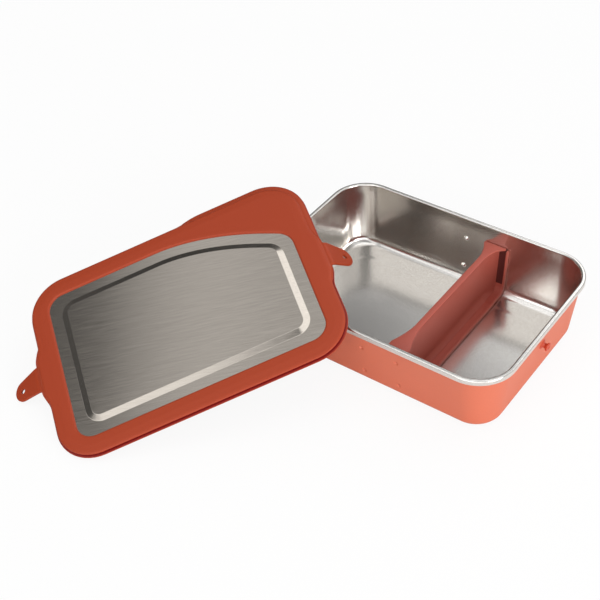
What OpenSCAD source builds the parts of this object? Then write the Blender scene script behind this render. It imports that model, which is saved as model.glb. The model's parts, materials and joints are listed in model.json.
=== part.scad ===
// Lunch box: a deep-drawn steel tray with a powder coat, two end pegs, a soft divider,
// and a steel and silicone lid that leans on the front rim. Millimetres, +Z up.
// The origin is the centre of the face that the box stands on.

/* [Box] */
// Length over the rim, from end to end
box_l = 200; // [170:1:240]
// Width over the rim, from front to back
box_w = 143; // [120:1:170]
// Height from the table to the top of the rim
box_h = 51.3; // [45:0.1:70]
// Plan radius of the rim's corners
box_corner_r = 27; // [24:0.5:32]
// Sheet thickness of the steel
steel_t = 0.6; // [0.5:0.1:1]
// How far the walls lean in from the rim to the base, on each side
wall_draft = 4.75; // [3:0.05:7]
// Outside radius of the bend between wall and base
base_bend_r = 7.4; // [5:0.1:9]
// Height of the rolled rim
rim_h = 4; // [3.4:0.1:5]
// How far the rolled rim stands out from the wall
rim_out = 2.6; // [2:0.05:3.2]
// Thickness of the powder coat
coat_t = 0.15; // [0.1:0.05:0.3]

/* [Base panel] */
// How far the flat centre of the base is pressed down below its border
base_step = 0.8; // [0.5:0.1:1.5]
// Border of the base panel to the rim, at the two ends
base_inset_x = 20.5; // [19:0.5:26]
// Border of the base panel to the rim, at the front and back
base_inset_y = 24; // [20:0.5:30]
// Plan radius of the base panel's corners
base_panel_r = 14; // [8:1:20]

/* [Divider stops] */
// Places along the box where the divider can stand, from the middle
stop_x = 27; // [20:1:35]
// Height of the lower bumps above the table
stop_low_z = 12.2; // [11:0.1:15]
// Height of the upper bumps above the table
stop_high_z = 35; // [25:0.5:38]
// Radius of the ball that presses each bump
stop_ball_r = 2.4; // [2:0.1:3]
// How far each bump stands out of the wall inside
stop_rise = 1.1; // [0.8:0.1:1.4]

/* [Pegs] */
// Height of the pegs above the table
peg_z = 33; // [28:0.5:40]
// Diameter of the peg's foot on the wall
peg_foot_d = 7; // [5:0.1:8]
// Diameter of the peg's neck
peg_neck_d = 3.4; // [2.5:0.1:4.5]
// Diameter of the peg's head
peg_head_d = 6; // [5:0.1:7]
// How far the peg stands out of the wall
peg_out = 5; // [4:0.1:6]

/* [Divider] */
// Height of the divider's top edge above the table
div_top = 39.1; // [36:0.1:44]
// Thickness of the wall of the divider
div_t = 4.5; // [3:0.1:6]
// Twice the reach of the lip that runs round the divider's ends and foot on its right
div_lip_w = 24.6; // [20:0.1:30]
// Thickness of that lip
div_lip_t = 0.9; // [0.8:0.1:1.6]
// Height of the bead along the lip's right edge, from the steel
div_bead = 2.2; // [1.8:0.1:3]
// How far the lip's top lies below the top edge
div_lip_drop = 1.3; // [0.5:0.1:3]
// Width of the divider's wall where it meets the end walls
div_flare_w = 9.6; // [8:0.1:12]
// Width of the top face where it meets the end walls
div_top_w = 15; // [13:0.1:18]
// Distance from the middle of the divider to the groove that takes the bumps
div_groove_x = 4.4; // [3.5:0.1:6]
// Gap between the divider and the steel
div_gap = 0.3; // [0.2:0.05:0.6]

/* [Lid] */
// How far the lid stands out past the rim, all round
lid_over = 3; // [2:0.1:5]
// Plan radius of the lid's corners
lid_corner_r = 28.5; // [26:0.5:34]
// Height of the silicone above the steel plate
lid_top = 1.2; // [0.8:0.1:2]
// Depth of the silicone flange below the steel plate's top
lid_flange = 2.8; // [2.4:0.1:4]
// Depth of the sealing ring below the steel plate's top
seal_depth = 7; // [6:0.1:9]
// Thickness of the sealing ring
seal_t = 2.5; // [2:0.1:4]
// Gap between the sealing ring and the rim when the lid is closed
seal_gap = 0.3; // [0.1:0.05:0.5]
// Width of the silicone border between the lid's edge and the bare steel
lid_border = 14.8; // [13.5:0.1:18]
// How far the finger lip stands out at the lifting corner
finger_lip = 2.75; // [1.5:0.05:4]

/* [Lid plate] */
// Sheet thickness of the plate
plate_t = 0.6; // [0.5:0.1:1]
// How far the plate runs under the silicone
plate_grip = 2.5; // [2:0.1:2.6]
// Plan radius of the plate's bare corners
plate_r = 12; // [9:0.5:13]
// How far the plate's long edge sweeps down at the lifting corner
sweep_drop = 27.7; // [20:0.1:32]
// Flat border of bare steel outside the raised panel
panel_inset = 8; // [6:0.1:10]
// Height of the raised panel
panel_rise = 1.3; // [0.8:0.1:1.8]
// Width of the slope up to the raised panel
panel_slope = 5; // [3:0.1:6]

/* [Pull tabs] */
// How far the lid swells out to carry each tab
tab_swell = 3.3; // [2:0.1:4.5]
// Distance from the tab's hinge line to its hole
tab_hole_x = 14.2; // [12:0.1:16]
// Diameter of the hole in the tab
tab_hole_d = 3.6; // [3:0.1:4]
// Width of the tab at its hinge line
tab_root_w = 19.4; // [15:0.1:22]
// Radius of the tab's round end
tab_end_r = 7.6; // [6:0.1:8]
// Thickness of the tab
tab_t = 1.8; // [1.4:0.1:2.2]
// How far the right tab hangs below the lid's plane, in degrees
tab_droop_right = 53; // [0:1:80]
// How far the left tab hangs below the lid's plane, in degrees
tab_droop_left = 21; // [0:1:21]

/* [Lean of the lid] */
// Tilt of the leaning lid, in degrees
lean_tilt = 19.75; // [16:0.01:24]
// Turn of the leaning lid in its own plane, in degrees
lean_turn = 52.24; // [48:0.01:56]
// Place of the leaning lid's centre along the box
lean_x = -113.3; // [-120:0.1:-108]
// Gap that keeps the leaning lid just clear of the rim
lean_gap = 0.3; // [0.2:0.05:0.6]

/* [Hidden] */
$fn = 64;
steel = [0.72, 0.71, 0.69];
terracotta = [0.85, 0.44, 0.34];
brick = [0.62, 0.30, 0.26];
orange = [0.70, 0.30, 0.20];
bite = 0.01;                              // overlap that joins solids that touch

// The wall's section: s is the distance in from the rim's outer face, z the height.
rim_w = rim_out + steel_t;                // the rolled rim from its outer face to the wall
rim_r = rim_w / 2;                        // radius of the rim's rounded top
rim_foot_z = box_h - rim_h;               // the wall shows below this height
bend_z = base_step + base_bend_r;         // height of the bend's centre
draft_a = atan(wall_draft / (rim_foot_z - bend_z));
bend_s = rim_out + wall_draft + base_bend_r / cos(draft_a);
function wall_s(z, depth) = rim_out + (rim_foot_z - z) * tan(draft_a) + depth / cos(draft_a);

// Points of the section that lie depth inside the wall's outer face, from rim to base
function section(depth) = concat(
    [[wall_s(rim_foot_z, depth), rim_foot_z]],
    [for (a = [draft_a : (90 - draft_a) / 8 : 90.01])
        [bend_s - (base_bend_r - depth) * cos(a), bend_z - (base_bend_r - depth) * sin(a)]]);

// Points in reverse order
function reversed(p) = [for (i = [len(p) - 1 : -1 : 0]) p[i]];

// A rounded rectangle, drawn exactly
module round_rect(l, w, r) {
    square([l - 2 * r, w], center = true);
    square([l, w - 2 * r], center = true);
    for (x = [-1, 1], y = [-1, 1])
        translate([x * (l / 2 - r), y * (w / 2 - r)]) circle(r);
}

// Runs a section round a rounded rectangle: its s axis points in from the outer edge
module run_round(l, w, r) {
    for (side = [0, 1]) rotate(180 * side) {
        translate([0, w / 2 - r, 0]) straight_run(l - 2 * r, r) children();
        rotate(90) translate([0, l / 2 - r, 0]) straight_run(w - 2 * r, r) children();
        translate([l / 2 - r, w / 2 - r, 0]) quarter_turn(r) children();
        mirror([1, 0, 0]) translate([l / 2 - r, w / 2 - r, 0]) quarter_turn(r) children();
    }
}
module straight_run(length, r)
    rotate([90, 0, 90]) linear_extrude(length, center = true) from_edge(r) children();
module quarter_turn(r) rotate_extrude(angle = 90, $fn = 96) from_edge(r) children();
module from_edge(r) translate([r, 0]) mirror([1, 0]) children();

// ---------------------------------------------------------------- box body
module wall_section() {
    polygon(concat(section(0), reversed(section(steel_t)),
                   [[rim_w, box_h - rim_r], [rim_out, box_h - rim_r]]));
}
module rim_section() {
    translate([rim_r, box_h - rim_r]) circle(rim_r, $fn = 48);
    translate([0, rim_foot_z + rim_out / 2]) square([rim_w, rim_h - rim_r - rim_out / 2]);
    translate([rim_out / 2, rim_foot_z]) square([rim_w - rim_out / 2, rim_out]);
    translate([rim_out / 2, rim_foot_z + rim_out / 2]) circle(rim_out / 2, $fn = 32);
}
module base_border(grow)
    round_rect(box_l - 2 * bend_s + grow, box_w - 2 * bend_s + grow, box_corner_r - bend_s + grow / 2);
module base_panel(shrink)
    round_rect(box_l - 2 * base_inset_x - shrink, box_w - 2 * base_inset_y - shrink,
               base_panel_r - shrink / 2);
// Stands on the outside of the front or back wall, with +Y pointing out of the wall
module on_long_wall(side, x, z)
    mirror([0, side > 0 ? 0 : 1, 0]) translate([x, box_w / 2 - wall_s(z, 0), z])
        rotate([-draft_a, 0, 0]) children();
module at_stops()
    for (side = [-1, 1], x = [0, stop_x], z = [stop_low_z, stop_high_z]) on_long_wall(side, x, z) children();
// Each bump is pressed in by a ball whose centre stays just outside the wall
ball_out = stop_ball_r - stop_rise - steel_t;
module bump() difference() {
    translate([0, ball_out, 0]) sphere(stop_ball_r, $fn = 32);
    translate([-5, 0, -5]) cube(10);
}
module dent() translate([0, ball_out, 0]) sphere(stop_ball_r - steel_t, $fn = 32);
module box_body() color(steel) difference() {
    union() {
        run_round(box_l, box_w, box_corner_r) {
            union() {
                wall_section();
                rim_section();
            }
        }
        translate([0, 0, base_step]) linear_extrude(steel_t) difference() {
            base_border(bite);
            base_panel(2 * steel_t);
        }
        linear_extrude(base_step + steel_t) difference() {
            base_panel(0);
            base_panel(2 * steel_t);
        }
        linear_extrude(steel_t) base_panel(0);
        at_stops() bump();
    }
    at_stops() dent();
}

// --------------------------------------------------------------- outer coat
module outer_coat() color(terracotta) difference() {
    run_round(box_l, box_w, box_corner_r) polygon(concat(section(-coat_t), reversed(section(0))));
    at_stops() dent();
    for (side = [-1, 1]) peg_at(side) rotate([0, 90, 0])
        translate([0, 0, -peg_out]) cylinder(h = 2 * peg_out, d = peg_foot_d - 1);
}

// --------------------------------------------------------------------- pegs
module peg_at(side)
    translate([side * (box_l / 2 - wall_s(peg_z, 0)), 0, peg_z])
        rotate(side > 0 ? 0 : 180) rotate([0, draft_a, 0]) children();
module peg(side) color(terracotta) peg_at(side) rotate([0, 90, 0]) rotate_extrude() difference() {
    union() {
        square([peg_foot_d / 2 - 0.6, 1.2]);
        square([peg_neck_d / 2, peg_out]);
        translate([0, peg_out - 1.6]) square([peg_head_d / 2 - 0.5, 1.6]);
        translate([0, peg_out - 1.3]) square([peg_head_d / 2, 0.9]);
    }
    translate([0, peg_out - 0.7]) square([1.1, 1]);
}
module peg_right() peg(1);
module peg_left() peg(-1);

// ------------------------------------------------------------------ divider
// Loops run down the back wall, along the foot and up the front wall. Each loop lies
// further in from the steel than the last, and is as wide as the divider is there.
div_x = stop_x - div_groove_x;
div_bend = base_bend_r - steel_t;
flare = (div_flare_w - div_t) / 2;        // how far each end widens at the wall
top_flare = (div_top_w - div_t) / 2;      // and how far the top plate widens there
top_plate_t = 1.5;
body_top = div_top - top_plate_t / 2;     // the wall ends inside the top plate
foot_flare = 3.2;                         // how far the foot widens at the floor
back_run = 17;                            // length of the back end's flare
front_flat = 11;                          // the front flare keeps its width this far
front_run = 33;                           // and has gone at this distance
foot_run = 6;                             // height of the foot's flare
steps = [0, 0.1, 0.22, 0.38, 0.56, 0.78, 1];
loop_n = len(steps) + 3;
function loop_d(k, from, to) = k == 0 ? 0 : k < 3 ? div_lip_t + 0.01 * (k - 1)
                               : div_lip_t + from + steps[k - 3] * (to - from);
function half_w(k, widening) = k < 2 ? div_lip_w / 2
                               : div_t / 2 + widening * pow(1 - (k < 3 ? 0 : steps[k - 3]), 1.8);
function wall_y(z, d) = box_w / 2 - wall_s(z, steel_t + div_gap + d);

// Height and distance out of points that lie d off the end wall and d_foot off the floor
function end_line(d, d_foot, side) = let (
        low = base_step + steel_t + div_gap + d_foot,
        r = max(div_bend - d_foot, 2.5),
        cy = wall_y(low + r, d) - r / cos(draft_a))
    concat([for (i = [0 : 5]) let (z = body_top + (low + r - body_top) * i / 6)
               [side * wall_y(z, d), z]],
           [for (i = [0 : 7]) let (a = draft_a + (90 - draft_a) * i / 7)
               [side * (cy + r * cos(a)), low + r - r * sin(a)]]);
function foot_line(d_foot, reach) = let (
        ring = box_w / 2 - base_inset_y,
        q = min(1, (reach - 1) / ring))
    [for (y = [ring, ring - 2, 30, 10, -10, -30, 2 - ring, -ring])
        [y * q, (abs(y) > ring - 1 ? base_step : 0) + steel_t + div_gap + d_foot]];
function end_pts(k, d, d_foot, side) = let (line = end_line(d, d_foot, side))
    [for (i = [0 : 13]) let (widening = flare + (foot_flare - flare) * max(0, i - 6) / 7)
        [half_w(k, widening), line[i][0], line[i][1]]];
// The front end's wide flare fades out on the way down to the foot
function front_pts(k, d_foot) = let (
        near = end_pts(k, loop_d(k, 0.5, back_run), d_foot, -1),
        far = end_pts(k, loop_d(k, front_flat, front_run), d_foot, -1))
    [for (i = [0 : 13]) let (fade = i < 6 ? pow(1 - i / 6, 2) : 0)
        [near[i][0], near[i][1] + (far[i][1] - near[i][1]) * fade, near[i][2]]];
function loop_pts(k) = let (
        d_foot = loop_d(k, 0.3, foot_run),
        back = end_pts(k, loop_d(k, 0.5, back_run), d_foot, 1))
    concat(back, [for (p = foot_line(d_foot, back[13][1])) [half_w(k, foot_flare), p[0], p[1]]],
           reversed(front_pts(k, d_foot)));
module divider_solid() {
    loops = [for (k = [0 : loop_n - 1]) loop_pts(k)];
    n = len(loops[0]);
    m = loop_n;
    function at(side, k, i) = (side * m + k) * n + i;
    points = concat([for (side = [1, -1], k = [0 : m - 1], p = loops[k]) [side * p[0], p[1], p[2]]],
                    [for (side = [1, -1]) [side * div_t / 2, 0, div_top / 2]]);
    middle = 2 * m * n;
    faces = concat(
        [for (k = [0 : m - 2], i = [0 : n - 2]) [at(0, k, i), at(0, k, i + 1), at(0, k + 1, i + 1)]],
        [for (k = [0 : m - 2], i = [0 : n - 2]) [at(0, k, i), at(0, k + 1, i + 1), at(0, k + 1, i)]],
        [for (k = [0 : m - 2], i = [0 : n - 2]) [at(1, k, i), at(1, k + 1, i + 1), at(1, k, i + 1)]],
        [for (k = [0 : m - 2], i = [0 : n - 2]) [at(1, k, i), at(1, k + 1, i), at(1, k + 1, i + 1)]],
        [for (i = [0 : n - 2]) [at(0, 0, i), at(1, 0, i), at(1, 0, i + 1)]],
        [for (i = [0 : n - 2]) [at(0, 0, i), at(1, 0, i + 1), at(0, 0, i + 1)]],
        [for (i = [0 : n - 1]) [middle, at(0, m - 1, i), at(0, m - 1, (i + 1) % n)]],
        [for (i = [0 : n - 1]) [middle + 1, at(1, m - 1, (i + 1) % n), at(1, m - 1, i)]],
        [for (k = [0 : m - 2]) [at(0, k, 0), at(0, k + 1, 0), at(1, k + 1, 0), at(1, k, 0)]],
        [for (k = [0 : m - 2])
            [at(0, k + 1, n - 1), at(0, k, n - 1), at(1, k, n - 1), at(1, k + 1, n - 1)]],
        [[at(0, m - 1, 0), at(0, m - 1, n - 1), at(1, m - 1, n - 1), at(1, m - 1, 0)]]);
    polyhedron(points, faces, convexity = 6);
}
// The top plate stands out past the wall's flares at both ends
function top_edge(side, from, run) =
    [for (k = [2 : loop_n - 1]) let (d = k == 2 ? 0 : loop_d(k, from, run))
        [half_w(k, top_flare), side * wall_y(div_top, d)]];
module top_plate() let (
        edge = concat(top_edge(1, 0.5, back_run), reversed(top_edge(-1, front_flat, front_run))))
    translate([0, 0, div_top - top_plate_t]) linear_extrude(top_plate_t)
        polygon(concat(edge, [for (p = reversed(edge)) [-p[0], p[1]]]));
// A bead stiffens the lip's outer edge down the back wall, along the floor and up the front
function bead_line(d) = let (back = end_line(d, d, 1))
    concat(back, foot_line(d, back[13][0]), reversed(end_line(d, d, -1)));
module lip_bead() translate([div_lip_w / 2 - 1.1, 0, 0]) rotate([90, 0, 90]) linear_extrude(1)
    polygon(concat(bead_line(0.1), reversed(bead_line(div_bead))));
module divider() color(brick) difference() {
    translate([div_x, 0, 0]) {
        divider_solid();
        top_plate();
        lip_bead();
    }
    for (side = [-1, 1], z = [stop_low_z, stop_high_z])
        translate([stop_x, side * (box_w / 2 - wall_s(z, 0)), -1]) bump_groove(z);
    // the lip stops below the top face, and on the left it ends under the top plate's edge
    for (end = [-1, 1])
        translate([div_x + div_top_w / 2 + 5.1, end * box_w / 2, div_top + 5 - div_lip_drop])
            cube([10, 30, 10], center = true);
    translate([div_x - div_top_w / 2 - 10.1, 0, 20]) cube([20, box_w, 60], center = true);
}
// A groove from the foot up past one bump, so that the divider drops in from above
module bump_groove(z) {
    half = sqrt(pow(stop_ball_r, 2) - pow(stop_ball_r - stop_rise, 2)) + div_gap;
    reach = steel_t + stop_rise + 2 * div_gap;
    translate([-half, -reach, 0]) cube([2 * half, 2 * reach, z + 1 + half]);
}

// ---------------------------------------------------------------- lid shape
// The lid is drawn lying flat, with z = 0 on the steel plate's top face
lid_l = box_l + 2 * lid_over;
lid_w = box_w + 2 * lid_over;
plate_hx = lid_l / 2 - lid_border;
plate_hy = lid_w / 2 - lid_border;
sweep_start = -4;                         // the long edge is straight up to here
sweep_end = plate_hx - 7.2;
sweep_power = 1.8;
sweep_r = 15.5;                           // radius at the foot of the sweep
function sweep_t(x) = max(0, (x - sweep_start) / (sweep_end - sweep_start));
function sweep_y(x) = plate_hy - sweep_drop * pow(sweep_t(x), sweep_power);
function sweep_k(x) = -sweep_drop * sweep_power * pow(sweep_t(x), sweep_power - 1)
                      / (sweep_end - sweep_start);
function arc(cx, cy, r, from, to, n) =
    [for (i = [0 : n]) let (a = from + (to - from) * i / n) [cx + r * cos(a), cy + r * sin(a)]];

// The plate's outline, d further in than its bare edge, with corners of radius r
function plate_pts(d, r, r_sweep) = let (
        hx = plate_hx - d,
        hy = plate_hy - d,
        a = atan(-sweep_k(sweep_end)),
        n = [sin(a), cos(a)],
        e = [sweep_end, sweep_y(sweep_end)] - d * n,
        cx = hx - r_sweep,
        cy = e[1] + ((e[0] - cx) * n[0] - r_sweep) / n[1],
        stop = cx + r_sweep * n[0],
        curve = [for (i = [24 : -1 : 0]) let (
                    x = sweep_start + (sweep_end - sweep_start) * i / 24,
                    b = atan(-sweep_k(x)))
                 [x - d * sin(b), sweep_y(x) - d * cos(b)]])
    concat(arc(-hx + r, -hy + r, r, 180, 270, 12), arc(hx - r, -hy + r, r, 270, 360, 12),
           arc(cx, cy, r_sweep, 0, 90 - a, 10), [for (p = curve) if (p[0] < stop - 1) p],
           arc(-hx + r, hy - r, r, 90, 180, 12));

module lean()
    translate([lean_x, lean_y, lean_z]) rotate([lean_tilt, 0, 0]) rotate([0, 0, lean_turn]) children();
// The lid leans with one corner of its sealing ring on the table and the ring on the rim
seal_in = lid_over + rim_w + seal_gap;
seal_edge = 0.3;                          // bevel on the ring's lower edges
seal_hx = lid_l / 2 - seal_in;
seal_hy = lid_w / 2 - seal_in;
seal_r = box_corner_r - rim_w - seal_gap;
lean_z = seal_depth * cos(lean_tilt)
         + sin(lean_tilt) * ((seal_hx - seal_r) * sin(lean_turn) + (seal_hy - seal_r) * cos(lean_turn)
                             + seal_r - seal_edge);
lean_y = -box_w / 2 + rim_r - (rim_r + lean_gap + seal_depth
         + (box_h - rim_r - lean_z) * cos(lean_tilt)) / sin(lean_tilt);

// ---------------------------------------------------------------- lid plate
module plate_layer(z, d, r, r_sweep)
    translate([0, 0, z]) linear_extrude(bite) polygon(plate_pts(d, r, r_sweep));
module raised(z) hull() {
    plate_layer(z, panel_inset, 6, 7.5);
    plate_layer(z + panel_rise, panel_inset + panel_slope, 5, 6);
}
module lid_plate() color(steel) lean() difference() {
    union() {
        translate([0, 0, -plate_t]) linear_extrude(plate_t)
            polygon(plate_pts(-plate_grip, plate_r + plate_grip, sweep_r + plate_grip));
        raised(-bite);
    }
    translate([0, 0, -plate_t]) raised(-bite);
}

// ---------------------------------------------------------------- lid frame
frame_run = 11.5;                         // the border's moulded outer part
shoulder = 3.5;                           // width of its rounded outer edge
groove_in = 1;                            // depth of the groove round the side
bead_in = 0.3;                            // the bead below the groove is set in by this
bead_h = 0.8;
module frame_section() polygon(concat(
    [[frame_run, -lid_flange], [seal_in + seal_t, -lid_flange],
     [seal_in + seal_t - seal_edge, -seal_depth], [seal_in + seal_edge, -seal_depth],
     [seal_in, -seal_depth + 1], [seal_in, -lid_flange],
     [bead_in, -lid_flange], [bead_in, -lid_flange + bead_h], [groove_in, -lid_flange + bead_h],
     [groove_in, 0], [0, 0]],
    [for (a = [0 : 15 : 90]) [shoulder - shoulder * cos(a), (lid_top - 0.3) * sin(a)]],
    [[frame_run - 3.5, lid_top], [frame_run, lid_top]]));
swell_run = 24;                           // half length of the swelling behind each tab
lip_from = 18;                            // the finger lip rises out of the edge here
lip_rise = 14;                            // and is full after this distance
function ease(t) = t <= 0 ? 0 : t >= 1 ? 1 : (1 - cos(180 * t)) / 2;
module end_swell() polygon(concat([[lid_l / 2 - 3, swell_run], [lid_l / 2 - 3, -swell_run]],
    [for (i = [0 : 24]) let (y = swell_run * (i / 12 - 1))
        [lid_l / 2 - bead_in + tab_swell * ease(1.6 - 1.6 * abs(y) / swell_run), y]]));
module finger_lip_shape() let (
        hx = lid_l / 2 - lid_corner_r,
        hy = lid_w / 2 - lid_corner_r,
        out = lid_corner_r - bead_in,
        top = [for (i = [0 : 12]) let (x = lip_from + lip_rise * i / 12)
               [x, hy + out + finger_lip * ease(i / 12)]],
        side = [for (i = [0 : 12]) let (y = tab_root_w / 2 + 8 - 8 * i / 12)
                [hx + out + finger_lip * ease(1 - i / 12), y]])
    polygon(concat(top, arc(hx, hy, out + finger_lip, 90, 0, 20), side,
                   [[hx + out - 4, tab_root_w / 2]], arc(hx, hy, out - 4, 0, 90, 20),
                   [[lip_from, hy + out - 4]]));
module lid_frame() color(orange) lean() difference() {
    union() {
        run_round(lid_l, lid_w, lid_corner_r) frame_section();
        translate([0, 0, -lid_flange]) linear_extrude(lid_flange + lid_top) difference() {
            round_rect(lid_l - 2 * frame_run + bite, lid_w - 2 * frame_run + bite,
                       lid_corner_r - frame_run + bite / 2);
            polygon(plate_pts(0, plate_r, sweep_r));
        }
        translate([0, 0, lid_top - bite]) linear_extrude(0.3) difference() {
            polygon(plate_pts(-1.3, plate_r + 1.3, sweep_r + 1.3));
            polygon(plate_pts(0, plate_r, sweep_r));
        }
        translate([0, 0, -lid_flange]) linear_extrude(lid_flange + 0.5) {
            end_swell();
            mirror([1, 0]) end_swell();
        }
        translate([0, 0, -lid_flange]) linear_extrude(lid_flange - 0.2) finger_lip_shape();
    }
    translate([0, 0, -plate_t]) linear_extrude(plate_t)
        polygon(plate_pts(-plate_grip, plate_r + plate_grip, sweep_r + plate_grip));
}

// ---------------------------------------------------------------- pull tabs
tab_gap = 0.3;                            // the thin bridge at the hinge is left open
tab_hinge_x = lid_l / 2 - bead_in + tab_swell + tab_gap + tab_t / 2;
tab_hinge_z = -0.2 - tab_t / 2;
tab_end_x = tab_hole_x - 0.8;             // centre of the tab's round end
module tab(side, droop) color(orange) lean()
    mirror([side > 0 ? 0 : 1, 0, 0]) translate([tab_hinge_x, 0, tab_hinge_z]) rotate([0, droop, 0])
        difference() {
            union() {
                rotate([90, 0, 0]) cylinder(h = tab_root_w, d = tab_t, center = true);
                translate([0, 0, -tab_t / 2]) linear_extrude(tab_t) tab_outline();
            }
            translate([tab_hole_x, 0, -tab_t]) cylinder(h = 2 * tab_t, d = tab_hole_d);
        }
// The sides run from the hinge line to the round end, and touch it as tangents
module tab_outline() let (
        run = sqrt(pow(tab_end_x, 2) + pow(tab_root_w / 2, 2)),
        lean_in = acos(tab_end_r / run),
        a = 180 - atan2(tab_root_w / 2, tab_end_x) - lean_in)
    polygon(concat([[0, -tab_root_w / 2]], arc(tab_end_x, 0, tab_end_r, -a, a, 24),
                   [[0, tab_root_w / 2]]));
module lid_tab_right() tab(1, tab_droop_right);
module lid_tab_left() tab(-1, tab_droop_left);

box_body();
outer_coat();
peg_right();
peg_left();
divider();
lid_plate();
lid_frame();
lid_tab_right();
lid_tab_left();
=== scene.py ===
"""A steel lunch box with a silicone divider, and its lid leaning on the front rim.

Meshes are worked out in millimetres in the part's own frame and stored in metres.
"""

import json
from itertools import product
from math import acos, atan, atan2, ceil, cos, pi, radians, sin, sqrt, tan

import bmesh
import bpy
import numpy as np
from mathutils import Matrix, Vector


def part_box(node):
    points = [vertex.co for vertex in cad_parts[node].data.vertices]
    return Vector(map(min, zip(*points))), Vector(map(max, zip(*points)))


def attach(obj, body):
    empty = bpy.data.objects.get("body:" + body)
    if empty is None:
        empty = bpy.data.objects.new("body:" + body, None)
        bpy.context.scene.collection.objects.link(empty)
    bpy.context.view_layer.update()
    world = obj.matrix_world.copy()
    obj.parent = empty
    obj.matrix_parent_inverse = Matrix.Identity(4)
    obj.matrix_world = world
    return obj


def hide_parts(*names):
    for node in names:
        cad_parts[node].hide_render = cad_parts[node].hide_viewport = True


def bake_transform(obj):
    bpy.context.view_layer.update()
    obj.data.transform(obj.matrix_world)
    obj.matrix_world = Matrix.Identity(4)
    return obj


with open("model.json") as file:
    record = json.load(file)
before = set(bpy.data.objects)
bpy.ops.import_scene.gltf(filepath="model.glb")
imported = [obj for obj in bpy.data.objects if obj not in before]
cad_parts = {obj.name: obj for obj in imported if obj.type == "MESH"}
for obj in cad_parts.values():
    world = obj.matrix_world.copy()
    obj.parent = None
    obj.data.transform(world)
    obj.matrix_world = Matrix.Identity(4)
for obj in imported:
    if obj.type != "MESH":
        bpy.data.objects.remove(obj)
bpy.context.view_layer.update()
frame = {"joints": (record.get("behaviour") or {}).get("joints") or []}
scene = bpy.context.scene
scene.view_settings.view_transform = "Standard"

# ---------------------------------------------------------------- Camera
# A 70 mm lens looks down on the box from the front right. It is turned a little on its axis,
# so its directions are written as the right and the up of its view.
camera_place = Vector((0.3216, -0.5117, 0.5642))
camera_right = Vector((0.80220, 0.59352, -0.06487))
camera_up = Vector((-0.35559, 0.56222, 0.74664))
camera_data = bpy.data.cameras.new("camera")
camera_data.lens = 69.85
camera_data.sensor_width = 36.0
camera = bpy.data.objects.new("camera", camera_data)
camera_back = camera_right.cross(camera_up)
camera.matrix_world = Matrix(
    [[camera_right[i], camera_up[i], camera_back[i], camera_place[i]] for i in range(3)]
    + [[0, 0, 0, 1]]
)
scene.collection.objects.link(camera)
scene.camera = camera

# ---------------------------------------------------------------- Studio
# A pale floor, a world of soft light zones overhead and two softboxes, one at the right and
# one in front. The dark gaps between the zones give the steel something to show.


class Wire:
    """A node's output that Python's arithmetic joins to further Math nodes."""

    def __init__(self, finish, socket):
        self.finish = finish
        self.socket = socket

    def maths(self, operation, *others, swap=False):
        terms = [self, *others]
        if swap:
            terms.reverse()
        return self.finish.node("Math", {"operation": operation}, dict(enumerate(terms)))

    def __add__(self, other):
        return self.maths("ADD", other)

    def __sub__(self, other):
        return self.maths("SUBTRACT", other)

    def __rsub__(self, other):
        return self.maths("SUBTRACT", other, swap=True)

    def __mul__(self, other):
        return self.maths("MULTIPLY", other)

    __radd__ = __add__
    __rmul__ = __mul__


class Nodes:
    """A shader's node tree, to which nodes are added with their settings and inputs."""

    def __init__(self, tree):
        self.tree = tree

    def node(self, kind, settings, inputs, output=0):
        made = self.tree.nodes.new("ShaderNode" + kind)
        for key, value in settings.items():
            setattr(made, key, value)
        for key, value in inputs.items():
            self.join(made.inputs[key], value)
        return Wire(self, made.outputs[output])

    def join(self, socket, value):
        if isinstance(value, Wire):
            self.tree.links.new(value.socket, socket)
        else:
            socket.default_value = value

    def step(self, value, start, end, low, high):
        """low below start and high above end, with a smooth step between them."""
        sockets = {0: value, 1: start, 2: end, 3: low, 4: high}
        return self.node("MapRange", {"interpolation_type": "SMOOTHSTEP"}, sockets)


class Finish(Nodes):
    """A material on one Principled shader, whose constants sit on its own sockets."""

    def __init__(self, name, **constants):
        self.material = bpy.data.materials.new(name)
        self.material.use_nodes = True
        super().__init__(self.material.node_tree)
        self.shader = self.tree.nodes["Principled BSDF"]
        for key, value in constants.items():
            self.shader.inputs[key.replace("_", " ")].default_value = value

    def drive(self, name, value):
        self.join(self.shader.inputs[name], value)

    def place(self, turn=(0, 0, 0), stretch=(1, 1, 1), origin=(0, 0, 0)):
        """Object coordinates in metres, turned and stretched for a pattern."""
        point = self.node("TexCoord", {}, {}, "Object")
        kind = {"vector_type": "TEXTURE"}
        point = self.node("Mapping", kind, {"Vector": point, "Location": origin, "Rotation": turn})
        return self.node("Mapping", {}, {"Vector": point, "Scale": stretch})

    def noise(self, place, scale, detail, rough):
        sockets = {"Vector": place, "Scale": scale, "Detail": detail, "Roughness": rough}
        return self.node("TexNoise", {}, sockets, 0)

    def mix(self, factor, low, high):
        sockets = {0: factor, 6: low, 7: high}
        return self.node("Mix", {"data_type": "RGBA"}, sockets, 2)

    def bump(self, height, distance, strength):
        sockets = {"Height": height, "Distance": distance, "Strength": strength}
        self.drive("Normal", self.node("Bump", {}, sockets))


def srgb(red, green, blue):
    """A colour written 0 to 255 as it shows on a screen, made linear for a shader."""
    return tuple(((c / 255 + 0.055) / 1.055) ** 2.4 for c in (red, green, blue)) + (1.0,)


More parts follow.
